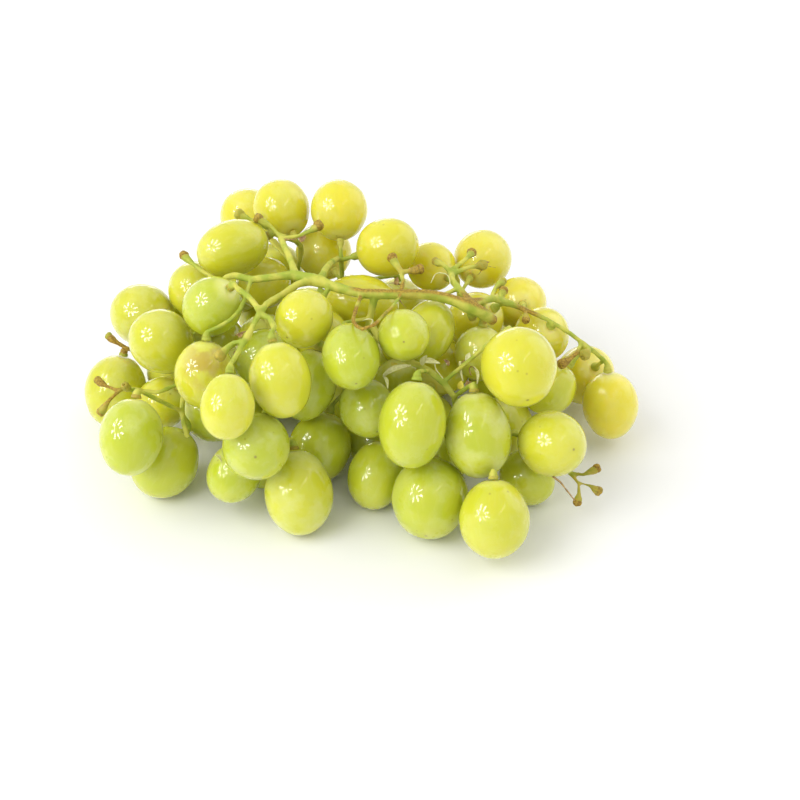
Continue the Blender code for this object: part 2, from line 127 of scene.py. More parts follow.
# Dried remains of flowers caught in the heap: thin threads through their points, how thick, and
# which finish.
DRIED_THREADS = [
    (((31, 23, 66), (31, 26, 67), (29, 27, 68), (26, 27, 68), (25, 24, 68), (24, 20, 68)), 0.5, "straw"),
    (((38, -10, 48), (37, -8, 49), (38, -7, 50), (39, -8, 50), (40, -9, 49)), 0.45, "umber"),
    (((25, -9, 53), (25, -10, 51), (27, -11, 49), (28, -12, 48)), 0.5, "straw"),
    (((34, -7, 52), (34, -9, 50), (35, -12, 47)), 1.0, "straw"),
    (((38, -5, 53), (36, -6, 52), (34, -7, 51)), 0.7, "umber"),
    (((65, -36, 24), (68, -39, 24), (70, -43, 23), (73, -45, 20)), 0.8, "umber"),
    (((44, 43, 62), (46, 42, 62), (49, 41, 62)), 0.35, "umber"),
    (((44, 43, 62), (44, 40, 61), (42, 39, 60)), 0.35, "umber"),
    (((13, 17, 69), (11, 17, 70), (9, 18, 69)), 0.5, "umber"),
    (((-39, -14, 69), (-42, -12, 68), (-44, -12, 66)), 0.5, "umber"),
    (((-40, -20, 67), (-42, -18, 66), (-44, -20, 64)), 0.45, "umber"),
    (((-32, 47, 71), (-28, 46, 71), (-25, 46, 72), (-23, 48, 72)), 0.6, "umber"),
    (((12, 5, 71), (14, 1, 70), (15, 3, 68)), 0.4, "umber"),
    (((3, -17, 74), (4, -13, 73), (2, -10, 72), (0, -10, 71)), 0.45, "straw"),
]

# Dried petals: where the foot is, where the tip points, the length, the width and the finish.
DRIED_PETALS = [
    ((6.9, -16.1, 52), (16, -13.7, 55), 10.5, 2.6, "straw"),
    ((6.9, -16.1, 52), (8.5, -21, 51), 6.0, 1.6, "straw"),
    ((20.5, -8.5, 53), (27, -9.5, 53), 6.5, 2.4, "straw"),
    ((20.5, -9.5, 52), (22, -8, 55), 4.0, 2.6, "straw"),
    ((38.7, -7.5, 50), (40.3, -12.4, 46), 6.5, 2.2, "straw"),
    ((36, -7, 52), (38, -3, 54), 4.0, 2.0, "straw"),
    ((33.5, -16.3, 46.5), (34.5, -14, 49), 3.2, 2.6, "yellow"),
    ((36, -15, 47), (39, -14, 48), 3.0, 2.2, "umber"),
    ((37, -16, 46.5), (36, -13, 49), 3.2, 2.0, "umber"),
    ((30, -7, 50), (28, -5, 52), 3.0, 2.4, "umber"),
    ((-43, -12, 66), (-40, -13, 69), 3.2, 1.8, "umber"),
    ((-43, -18, 65), (-41, -20, 67), 3.0, 1.8, "straw"),
    ((-25, 45, 71), (-22, 46, 73), 3.2, 2.0, "umber"),
    ((11, 17, 69), (12, 18, 71.5), 3.0, 2.0, "umber"),
    ((44, 43, 62), (47, 44, 63), 3.0, 1.8, "umber"),
    ((-52, -30, 28), (-48, -33, 26), 3.5, 2.0, "straw"),
    ((12, -8, 50), (9, -7, 52), 3.0, 2.4, "yellow"),
    ((65, -36, 24), (67, -34, 25), 3.5, 2.0, "straw"),
]

# Colours, as linear red, green and blue.
GREEN_SKIN = ((0.475, 0.54, 0.033), (0.76, 0.69, 0.044), (0.80, 0.80, 0.30))
RIPE_SKIN = ((0.56, 0.57, 0.030), (0.84, 0.71, 0.041), (0.88, 0.82, 0.30))
SCAR = (0.20, 0.13, 0.03)
BLUSH = (0.45, 0.28, 0.05)
WAX = (0.80, 0.82, 0.48)
SKIN_SPECK = (0.24, 0.17, 0.03)
BARK_GREEN = ((0.34, 0.42, 0.045), (0.60, 0.58, 0.10))
BARK_DRY = ((0.20, 0.11, 0.012), (0.50, 0.34, 0.050))
BARK_SPECK = (0.22, 0.13, 0.04)
STRAW = ((0.62, 0.60, 0.24), (0.78, 0.76, 0.42))
UMBER = ((0.20, 0.10, 0.03), (0.42, 0.27, 0.09))
YELLOW = ((0.60, 0.50, 0.04), (0.75, 0.66, 0.10))

random.seed(11)


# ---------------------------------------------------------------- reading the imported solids


def points_of(node):
    """The separate corners of a CAD node's mesh."""
    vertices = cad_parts[node].data.vertices
    places = np.empty(len(vertices) * 3)
    vertices.foreach_get("co", places)
    return np.unique(places.reshape(-1, 3).round(7), axis=0)


def fit_oval(places):
    """The middle, the long axis, the width and the length of the oval through a grape's corners."""
    places = places[places[:, 2] > 0.0002]
    origin = places.mean(axis=0)
    x, y, z = ((places - origin) / 0.01).T
    terms = np.stack([x * x, y * y, z * z, 2 * x * y, 2 * x * z, 2 * y * z, 2 * x, 2 * y, 2 * z], axis=1)
    q = np.linalg.lstsq(terms, np.ones(len(x)), rcond=None)[0]
    form = np.array([[q[0], q[3], q[4]], [q[3], q[1], q[5]], [q[4], q[5], q[2]]])
    middle = -np.linalg.solve(form, q[6:])
    values, vectors = np.linalg.eigh(form / (1 + middle @ form @ middle))
    sizes = 0.02 / np.sqrt(values)
    return origin + middle * 0.01, vectors[:, 0], sizes[1:].mean(), sizes[0]


def in_frame(places_mm):
    """Points drawn in the routes' frame, in millimetres, as places in the bunch's frame."""
    return (np.array(places_mm, float) + ROUTE_SHIFT_MM) * MM


# ---------------------------------------------------------------- modelling helpers


def deselect():
    bpy.ops.object.select_all(action="DESELECT")


def take(thing):
    """Makes one object the only one selected, and the active one."""
    deselect()
    thing.select_set(True)
    bpy.context.view_layer.objects.active = thing


def apply_modifier(thing, kind, **settings):
    take(thing)
    added = thing.modifiers.new(kind.lower(), kind)
    for name, value in settings.items():
        setattr(added, name, value)
    bpy.ops.object.modifier_apply(modifier=added.name)


def clouds(name, size):
    texture = bpy.data.textures.new(name, "CLOUDS")
    texture.noise_scale = size
    return texture


def select_where(thing, keep):
    """In edit mode, selects the vertices that `keep` accepts."""
    bpy.ops.object.mode_set(mode="OBJECT")
    for vertex in thing.data.vertices:
        vertex.select = keep(vertex.co)
    for edge in thing.data.edges:
        edge.select = all(thing.data.vertices[i].select for i in edge.vertices)
    for face in thing.data.polygons:
        face.select = all(thing.data.vertices[i].select for i in face.vertices)
    bpy.ops.object.mode_set(mode="EDIT")


def coords(mesh):
    places = np.empty(len(mesh.vertices) * 3)
    mesh.vertices.foreach_get("co", places)
    return places.reshape(-1, 3)


def put_coords(mesh, places):
    mesh.vertices.foreach_set("co", places.ravel())
    mesh.update()


def note(mesh, name, values):
    """Stores a number, or three, on every vertex."""
    kind = "FLOAT_VECTOR" if np.ndim(values) == 2 else "FLOAT"
    layer = mesh.attributes.new(name, kind, "POINT")
    layer.data.foreach_set("vector" if kind == "FLOAT_VECTOR" else "value", np.ravel(values))


def finish_piece(piece, slot, *nodes):
    """Hands a finished piece to the frame."""
    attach(piece, "root")
    if nodes:
        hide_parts(*nodes)


# ---------------------------------------------------------------- grapes


def master_grape(name, segments, rings, shoulder, belly):
    """A grape of radius 1 with its stem end up: a dimple under the stalk, a scar at the far end."""
    deselect()
    bpy.ops.mesh.primitive_uv_sphere_add(segments=segments, ring_count=rings, radius=1.0)
    grape = bpy.context.object
    grape.name = name
    bpy.ops.object.mode_set(mode="EDIT")
    bpy.ops.mesh.select_mode(type="VERT")
    proportional = {"use_proportional_edit": True, "proportional_edit_falloff": "SMOOTH"}
    select_where(grape, lambda co: co.z > 0.999)
    bpy.ops.transform.translate(value=(0, 0, -0.05), proportional_size=0.26, **proportional)
    select_where(grape, lambda co: co.z < -0.999)
    bpy.ops.transform.translate(value=(0, 0, 0.02), proportional_size=0.16, **proportional)
    select_where(grape, lambda co: 0.45 < co.z < 0.6)
    bpy.ops.transform.resize(value=(shoulder, shoulder, 1), proportional_size=0.5, **proportional)
    select_where(grape, lambda co: -0.6 < co.z < -0.45)
    bpy.ops.transform.resize(value=(belly, belly, 1), proportional_size=0.5, **proportional)
    bpy.ops.object.mode_set(mode="OBJECT")
    bpy.ops.object.shade_smooth()
    grape.hide_render = True
    grape.hide_set(True)
    return grape


def grow(master, middle, axis, width, length, roll):
    """A copy of the master with its own mesh, turned and stretched onto one oval."""
    mesh = master.data.copy()
    local = coords(mesh)
    note(mesh, "local", local / np.linalg.norm(local, axis=1)[:, None])
    turn = Vector((0, 0, 1)).rotation_difference(Vector(axis)).to_matrix()
    turn = np.array(turn @ Matrix.Rotation(roll, 3, "Z"))
    half = np.array((width, width, length)) / 2 + SWELL_MM * MM
    lumps = np.array([noise.noise(Vector(place * 1.3) + Vector(middle) * 90) for place in local])
    shaped = local * half * (1 + SKIN_LUMPS * lumps[:, None])
    places = shaped @ turn.T + middle
    heights = places[:, 2]
    places[:, 2] = np.where(heights < REST_BAND, REST_HEIGHT + 0.25 * np.maximum(heights, 0), heights)
    put_coords(mesh, places)
    return mesh


def skin_notes(mesh, ripeness, bloom, blush):
    """What the skin's material reads: how ripe, how much bloom, and where a brown blush lies."""
    count = len(mesh.vertices)
    note(mesh, "ripeness", np.full(count, ripeness))
    note(mesh, "bloom", np.full(count, bloom))
    note(mesh, "blush", blush)


def side_mask(mesh, direction, inner, outer):
    """1 on the side of a grape that faces `direction`, fading between two cosines."""
    places = coords(mesh)
    rays = places - (places.min(axis=0) + places.max(axis=0)) / 2
    rays /= np.linalg.norm(rays, axis=1)[:, None] + 1e-9
    aim = np.array(direction, float) / np.linalg.norm(direction)
    return np.clip((rays @ aim - outer) / (inner - outer), 0, 1)


# Grapes that stand out: how ripe, how much bloom, and the way a brown blush faces, if it has one.
ODD_GRAPES = {
    "grape_16": (0.55, 0.6, (0.2, -0.5, 0.8)),
    "grape_17": (0.15, 0.25, None),
    "grape_13": (0.58, 0.25, None),
    "grape_20": (0.46, 0.45, None),
    "grape_21": (0.46, 0.45, None),
    "grape_22": (0.52, 0.35, None),
    "grape_28": (0.12, 0.3, None),
    "grape_32": (0.34, 1.0, None),
    "grape_34": (0.10, 0.25, None),
    "grape_35": (0.12, 0.95, None),
    "grape_36": (0.60, 0.2, None),
    "grape_38": (0.12, 0.3, None),
    "grape_41": (0.42, 0.3, None),
    "grape_43": (0.48, 0.4, None),
    "grape_45": (0.72, 0.35, None),
    "grape_48": (0.35, 0.75, None),
    "grape_53": (0.35, 0.3, None),
}


# Grapes that wear the riper, yellower skin.
RIPE_GRAPES = [1, 2, 3, 4, 5, 6, 7, 8, 9, 10, 11, 12, 14, 25, 40, 44, 45, 46, 49, 50, 51, 52]


def ripeness_at(middle):
    """Fruit at the back, at the top and to the right of the heap had more sun."""
    back = (middle[1] / MM + 30) / 110
    right = (middle[0] / MM - 20) / 160
    return float(np.clip(0.12 + 0.54 * back + 0.55 * right + random.uniform(-0.08, 0.08), 0, 1))


def bloom_at(middle):
    """The wax is thickest on the left of the heap, and rubbed off on the right."""
    return float(np.clip(random.uniform(0.15, 0.6) - 2.4 * middle[0], 0.05, 1))


def stem_side(axis, middle, length, stem_points):
    """The axis turned to point at the end where the stalk reaches the grape."""
    ends = [middle + axis * side * length / 2 for side in (1, -1)]
    gaps = [np.linalg.norm(stem_points - end, axis=1).min() for end in ends]
    return axis if gaps[0] <= gaps[1] else -axis


def make_grapes(masters, skins, stem_points):
    """Every single grape, in place of its solid. Returns where each one's stalk meets it."""
    collars = []
    for number, node in enumerate(GRAPES):
        middle, axis, width, length = fit_oval(points_of(node))
        axis = stem_side(axis, middle, length, stem_points)
        master = masters[number % len(masters)]
        mesh = grow(master, middle, axis, width, length, random.uniform(0, 2 * math.pi))
        ripe, bloom, blush_way = ODD_GRAPES.get(node, (ripeness_at(middle), bloom_at(middle), None))
        blush = np.zeros(len(mesh.vertices))
        if blush_way:
            blush = side_mask(mesh, blush_way, 0.95, 0.45)
        skin_notes(mesh, ripe, bloom, blush)
        piece = bpy.data.objects.new("skin_of_" + node, mesh)
        bpy.context.scene.collection.objects.link(piece)
        slot = "ripe_skin" if number + 1 in RIPE_GRAPES else "green_skin"
        mesh.materials.clear()
        mesh.materials.append(skins[slot])
        finish_piece(piece, slot, node)
        collars.append((middle + axis * (length / 2), axis))
    return collars


def make_inner_grapes(master, skin):
    """The clusters inside and under the back, one piece each."""
    for node, middles in CLUSTERS.items():
        parts = []
        for middle in middles:
            place = in_frame(middle)
            mesh = grow(master, place, (0, 0, 1), INNER_WIDTH_MM * MM, INNER_LENGTH_MM * MM,
                        random.uniform(0, 6))
            skin_notes(mesh, ripeness_at(place), random.uniform(0.2, 0.5), np.zeros(len(mesh.vertices)))
            part = bpy.data.objects.new("part", mesh)
            bpy.context.scene.collection.objects.link(part)
            parts.append(part)
        take(parts[0])
        for part in parts:
            part.select_set(True)
        bpy.ops.object.join()
        piece = bpy.context.object
        piece.name = "skins_of_" + node
        piece.data.materials.clear()
        piece.data.materials.append(skin)
        finish_piece(piece, "green_skin", node)


# ---------------------------------------------------------------- stem


def nearness(places, spots_mm, reach_mm):
    """For each point, 1 at the nearest of the spots, falling to 0 at the reach."""
    spots = in_frame(spots_mm)
    result = np.zeros(len(places))
    for spot, reach in zip(spots, np.broadcast_to(reach_mm, len(spots))):
        distance = np.linalg.norm(places - spot, axis=1) / (reach * MM)
        result = np.maximum(result, np.clip(1 - distance, 0, 1))
    return result


def normals_of(mesh):
    values = np.empty(len(mesh.vertices) * 3)
    mesh.vertex_normals.foreach_get("vector", values)
    return values.reshape(-1, 3)


def make_stem(material, collars):
    """The stem's solid made round and lumpy, with swollen joints and a rough, ridged bark."""
    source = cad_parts["stem"]
    stem = source.copy()
    stem.data = source.data.copy()
    stem.name = "bunch_stem"
    stem.parent = None
    bpy.context.scene.collection.objects.link(stem)
    take(stem)
    bpy.ops.object.mode_set(mode="EDIT")
    bpy.ops.mesh.select_all(action="SELECT")
    bpy.ops.mesh.remove_doubles(threshold=1e-6)
    bpy.ops.object.mode_set(mode="OBJECT")
    apply_modifier(stem, "REMESH", mode="VOXEL", voxel_size=STEM_VOXEL_MM * MM)
    apply_modifier(stem, "SMOOTH", factor=0.6, iterations=5)
    mesh = stem.data
    places = coords(mesh)
    outwards = normals_of(mesh)
    grow_by = np.full(len(places), STEM_SWELL_MM)
    for x, y, z, reach, height in STEM_JOINTS:
        grow_by += height * nearness(places, [(x, y, z)], reach) ** 1.5
    lumps = np.array([noise.noise(Vector(place) * 300) for place in places])
    ridges = np.array([noise.noise(Vector(place) * 1500) for place in places])
    grow_by += STEM_LUMP_MM * lumps + STEM_RIDGE_MM * ridges
    put_coords(mesh, places + outwards * grow_by[:, None] * MM)
    places = coords(mesh)
    brown = np.zeros(len(places))
    for x, y, z, reach, amount in BROWN_STRETCHES:
        brown = np.maximum(brown, amount * np.minimum(1, 1.6 * nearness(places, [(x, y, z)], reach)))
    sunny = np.clip((normals_of(mesh) @ np.array(SUNNY_WAY) + 0.25) / 0.7, 0, 1)
    sunny *= np.minimum(1, 2 * nearness(places, SUNNY_EDGE, 10.0))
    brown = np.maximum(brown, 0.78 * sunny)
    knots = np.zeros(len(places))
    for place, axis in collars:
        distance = np.linalg.norm(places - place, axis=1)
        knots = np.maximum(knots, np.clip(1 - distance / COLLAR_REACH, 0, 1))
    knots = np.maximum(knots, nearness(places, [end for _, end in BARE_ENDS], KNOT_REACH_MM))
    note(mesh, "brown", brown)
    note(mesh, "knot", np.minimum(1, knots * 1.1))
    mesh.materials.clear()
    mesh.materials.append(material)
    take(stem)
    bpy.ops.object.shade_smooth()
    finish_piece(stem, "stem", "stem")


def master_collar():
    """The flared rim of a stalk where it holds a grape, its open face down."""
    deselect()
    bpy.ops.mesh.primitive_cylinder_add(vertices=14, radius=COLLAR_RADIUS_MM * MM,
                                        depth=COLLAR_DEPTH_MM * MM)
    collar = bpy.context.object
    collar.name = "stalk_collar_master"
    bpy.ops.object.mode_set(mode="EDIT")
    bpy.ops.mesh.select_mode(type="FACE")
    select_where(collar, lambda co: co.z > 0)
    bpy.ops.mesh.extrude_region_move(TRANSFORM_OT_translate={"value": (0, 0, COLLAR_DEPTH_MM * MM)})
    bpy.ops.transform.resize(value=(0.55, 0.55, 1))
    bpy.ops.mesh.inset(thickness=0.2 * MM)
    select_where(collar, lambda co: co.z < 0)
    bpy.ops.mesh.inset(thickness=0.5 * MM)
    bpy.ops.transform.translate(value=(0, 0, 0.25 * MM))
    bpy.ops.object.mode_set(mode="OBJECT")
    apply_modifier(collar, "BEVEL", width=0.15 * MM, segments=1)
    apply_modifier(collar, "SUBSURF", levels=1, render_levels=1)
    collar.hide_render = True
    return collar


def master_knob():
    """The end of a bare stalk: a brown ball with a sunken eye where the grape tore off."""
    deselect()
    bpy.ops.mesh.primitive_uv_sphere_add(segments=18, ring_count=12, radius=KNOB_RADIUS_MM * MM)
    knob = bpy.context.object
    knob.name = "bare_knob_master"
    bpy.ops.object.mode_set(mode="EDIT")
    bpy.ops.mesh.select_mode(type="FACE")
    select_where(knob, lambda co: co.z > 1.45 * MM)
    bpy.ops.transform.translate(value=(0, 0, -0.25 * MM))
    bpy.ops.mesh.inset(thickness=0.35 * MM)
    bpy.ops.mesh.extrude_region_move(TRANSFORM_OT_translate={"value": (0, 0, -0.7 * MM)})
    bpy.ops.mesh.inset(thickness=0.3 * MM)
    bpy.ops.mesh.extrude_region_move(TRANSFORM_OT_translate={"value": (0, 0, 0.75 * MM)})
    bpy.ops.transform.resize(value=(0.5, 0.5, 1))
    bpy.ops.object.mode_set(mode="OBJECT")
    apply_modifier(knob, "SUBSURF", levels=1, render_levels=1)
    apply_modifier(knob, "DISPLACE", texture=clouds("knob_lumps", 0.0011), strength=0.0005,
                   mid_level=0.5)
    knob.hide_render = True
    return knob


def scatter(name, master, spots, material, browns):
    """Copies of the master at each place, its +Z along each direction, joined as one piece. Each is
    as brown as a random draw between the two given values makes it."""
    parts = []
    for place, way, size in spots:
        part = master.copy()
        part.data = master.data.copy()
        part.hide_render = False
        bpy.context.scene.collection.objects.link(part)
        shade = random.uniform(*browns)
        count = len(part.data.vertices)
        note(part.data, "brown", np.full(count, shade))
        note(part.data, "knot", np.full(count, shade))
        turn = Vector((0, 0, 1)).rotation_difference(Vector(way)).to_matrix().to_4x4()
        spin = Matrix.Rotation(random.uniform(0, 6.28), 4, "Z")
        part.data.transform(Matrix.Translation(Vector(place)) @ turn @ spin @ Matrix.Scale(size, 4))
        parts.append(part)
    take(parts[0])
    for part in parts:
        part.select_set(True)
    bpy.ops.object.join()
    piece = bpy.context.object
    piece.name = name
    piece.matrix_world = Matrix.Identity(4)
    bpy.ops.object.shade_smooth()
    piece.data.materials.clear()
    piece.data.materials.append(material)
    finish_piece(piece, "stem")


# ---------------------------------------------------------------- dried remains


def make_thread(points, thick_mm):
    """A thin dried thread along a smooth curve, thinner towards its tip, as a mesh."""
    deselect()
    bpy.ops.curve.primitive_nurbs_path_add()
    thread = bpy.context.object
    curve = thread.data
    curve.splines.clear()
    spline = curve.splines.new("NURBS")
    spline.points.add(len(points) - 1)
    places = in_frame(points)
    for number, (point, place) in enumerate(zip(spline.points, places)):
        point.co = (*place, 1.0)
        point.radius = 1.0 - 0.45 * number / (len(points) - 1)
    spline.use_endpoint_u = True
    spline.order_u = 3
    spline.resolution_u = 6
    curve.bevel_depth = thick_mm / 2 * MM
    curve.bevel_resolution = 2
    curve.use_fill_caps = True
    bpy.ops.object.convert(target="MESH")
    take(thread)
    bpy.ops.object.mode_set(mode="EDIT")
    bpy.ops.mesh.select_all(action="SELECT")
    bpy.ops.mesh.remove_doubles(threshold=1e-6)
    bpy.ops.mesh.normals_make_consistent(inside=False)
    bpy.ops.object.mode_set(mode="OBJECT")
    apply_modifier(thread, "DISPLACE", texture=clouds("thread_lumps", 0.0012), strength=0.0003,
                   mid_level=0.5)
    return thread


def master_petal():
    """A dried petal one unit long: narrow at its foot, pointed, cupped and curled."""
    deselect()
    bpy.ops.mesh.primitive_grid_add(x_subdivisions=5, y_subdivisions=9, size=1.0)
    petal = bpy.context.object
    petal.name = "dried_petal_master"
    places = coords(petal.data)
    along = places[:, 1] + 0.5
    width = np.sin(math.pi * np.clip(along, 0.04, 0.97) ** 0.75) * 0.9 + 0.08
    cup = 0.35 * places[:, 0] ** 2 * 4
    curl = 0.16 * np.sin(math.pi * along * 1.2)
    put_coords(petal.data, np.stack([places[:, 0] * width, along, cup * width * 0.5 + curl], axis=1))
    apply_modifier(petal, "SOLIDIFY", thickness=0.09, offset=0.0)
    apply_modifier(petal, "SUBSURF", levels=1, render_levels=1)
    petal.hide_render = True
    return petal


def make_dried_remains(finishes):
    """The threads and the petals, one piece for each finish."""
    petal_master = master_petal()
    batches = {name: [] for name in finishes}
    for points, thick, finish in DRIED_THREADS:
        batches[finish].append(make_thread(points, thick))
    for foot, tip, length, width, finish in DRIED_PETALS:
        petal = petal_master.copy()
        petal.data = petal_master.data.copy()
        petal.hide_render = False
        bpy.context.scene.collection.objects.link(petal)
        way = Vector(tip) - Vector(foot)
        turn = Vector((0, 1, 0)).rotation_difference(way).to_matrix().to_4x4()
        roll = Matrix.Rotation(random.uniform(-0.7, 0.7), 4, "Y")
        size = Matrix.Diagonal((width * MM, length * MM, (width + length) / 2.5 * MM, 1.0))
        petal.data.transform(Matrix.Translation(Vector(in_frame(foot))) @ turn @ roll @ size)
        batches[finish].append(petal)
    for finish, parts in batches.items():
        take(parts[0])
        for part in parts:
            part.select_set(True)
        bpy.ops.object.join()
        piece = bpy.context.object
        piece.name = "dried_remains_" + finish
        piece.data.transform(piece.matrix_world)
        piece.matrix_world = Matrix.Identity(4)
        bpy.ops.object.shade_smooth()
        piece.data.materials.clear()
        piece.data.materials.append(finishes[finish])
        finish_piece(piece, "stem")
    bpy.data.objects.remove(petal_master)


# ---------------------------------------------------------------- materials


def new_material(name):
    made = bpy.data.materials.new(name)
    made.use_nodes = True
    return made, made.node_tree.nodes, made.node_tree.links, made.node_tree.nodes["Principled BSDF"]


def new_group(name, inputs, outputs):
    """An empty shader node group with the given sockets."""
    group = bpy.data.node_groups.new(name, "ShaderNodeTree")
    kinds = {"value": "NodeSocketFloat", "colour": "NodeSocketColor", "vector": "NodeSocketVector"}
    for label, kind, default in inputs:
        socket = group.interface.new_socket(label, in_out="INPUT", socket_type=kinds[kind])
        if default is not None:
            socket.default_value = default
    for label, kind in outputs:
        group.interface.new_socket(label, in_out="OUTPUT", socket_type=kinds[kind])
    return group, group.nodes.new("NodeGroupInput"), group.nodes.new("NodeGroupOutput")


def math_node(nodes, links, operation, first, second=None, clamp=False):
    made = nodes.new("ShaderNodeMath")
    made.operation = operation
    made.use_clamp = clamp
    for socket, value in zip(made.inputs, (first, second)):
        if value is None:
            continue
        if isinstance(value, (int, float)):
            socket.default_value = value
        else:
            links.new(value, socket)
    return made.outputs[0]


def ramp(nodes, links, value, low, high, out_low=0.0, out_high=1.0):
    made = nodes.new("ShaderNodeMapRange")
    made.interpolation_type = "SMOOTHSTEP"
    made.inputs["From Min"].default_value = low
    made.inputs["From Max"].default_value = high
    made.inputs["To Min"].default_value = out_low
    made.inputs["To Max"].default_value = out_high
    links.new(value, made.inputs["Value"])
    return made.outputs["Result"]


def mix(nodes, links, factor, first, second):
    made = nodes.new("ShaderNodeMix")
    made.data_type = "RGBA"
    for socket, value in ((made.inputs[0], factor), (made.inputs[6], first), (made.inputs[7], second)):
        if isinstance(value, (int, float)):
            socket.default_value = value
        elif isinstance(value, tuple):
            socket.default_value = (*value, 1.0)
        else:
            links.new(value, socket)
    return made.outputs[2]


def noise_node(nodes, links, vector, scale, detail=2.0, roughness=0.5):
    made = nodes.new("ShaderNodeTexNoise")
    made.inputs["Scale"].default_value = scale
    made.inputs["Detail"].default_value = detail
    made.inputs["Roughness"].default_value = roughness
    links.new(vector, made.inputs["Vector"])
    return made.outputs["Fac"]


def attribute(nodes, name):
    made = nodes.new("ShaderNodeAttribute")
    made.attribute_name = name
    return made


def specks_group():
    """Small corky dots scattered over a surface."""
    group, given, result = new_group(
        "corky_specks",
        [("Vector", "vector", None), ("Scale", "value", 300.0), ("Amount", "value", 0.5)],
        [("Mask", "value")],
    )
    nodes, links = group.nodes, group.links
    cells = nodes.new("ShaderNodeTexVoronoi")
    links.new(given.outputs["Vector"], cells.inputs["Vector"])
    links.new(given.outputs["Scale"], cells.inputs["Scale"])
    dots = ramp(nodes, links, cells.outputs["Distance"], 0.20, 0.06)
    tone = nodes.new("ShaderNodeSeparateColor")
    links.new(cells.outputs["Color"], tone.inputs[0])
    chosen = math_node(nodes, links, "LESS_THAN", tone.outputs[0], given.outputs["Amount"])
    links.new(math_node(nodes, links, "MULTIPLY", dots, chosen), result.inputs["Mask"])
    return group


def bloom_group():
    """The thin waxy film: cloudy patches, rubbed thin in places."""
    group, given, result = new_group(
        "waxy_bloom",
        [("Vector", "vector", None), ("Amount", "value", 0.4)],
        [("Mask", "value")],
    )
    nodes, links = group.nodes, group.links
    wide = noise_node(nodes, links, given.outputs["Vector"], 95.0, 3.0, 0.55)
    fine = noise_node(nodes, links, given.outputs["Vector"], 900.0, 4.0, 0.65)
    patches = ramp(nodes, links, wide, 0.38, 0.68)
    grain = ramp(nodes, links, fine, 0.3, 0.75, 0.55, 1.0)
    film = math_node(nodes, links, "MULTIPLY", patches, grain)
    links.new(math_node(nodes, links, "MULTIPLY", film, given.outputs["Amount"]), result.inputs["Mask"])
    return group


def veins_group():
    """Faint pale lines under the skin, running from the stalk end to the blossom end."""
    group, given, result = new_group("skin_veins", [("Local", "vector", None)], [("Mask", "value")])
    nodes, links = group.nodes, group.links
    split = nodes.new("ShaderNodeSeparateXYZ")
    links.new(given.outputs["Local"], split.inputs[0])
    angle = math_node(nodes, links, "ARCTAN2", split.outputs[0], split.outputs[1])
    round_way = nodes.new("ShaderNodeCombineXYZ")
    links.new(math_node(nodes, links, "COSINE", angle), round_way.inputs[0])
    links.new(math_node(nodes, links, "SINE", angle), round_way.inputs[1])
    links.new(math_node(nodes, links, "MULTIPLY", split.outputs[2], 0.35), round_way.inputs[2])
    lines = noise_node(nodes, links, round_way.outputs[0], 7.0, 3.0, 0.6)
    sharp = ramp(nodes, links, lines, 0.5, 0.68)
    poles = ramp(nodes, links, math_node(nodes, links, "ABSOLUTE", split.outputs[2]), 0.98, 0.8)
    links.new(math_node(nodes, links, "MULTIPLY", sharp, poles), result.inputs["Mask"])
    return group


def use(nodes, links, group, **inputs):
    made = nodes.new("ShaderNodeGroup")
    made.node_tree = group
    for name, value in inputs.items():
        if isinstance(value, (int, float)):
            made.inputs[name].default_value = value
        else:
            links.new(value, made.inputs[name])
    return made.outputs[0]


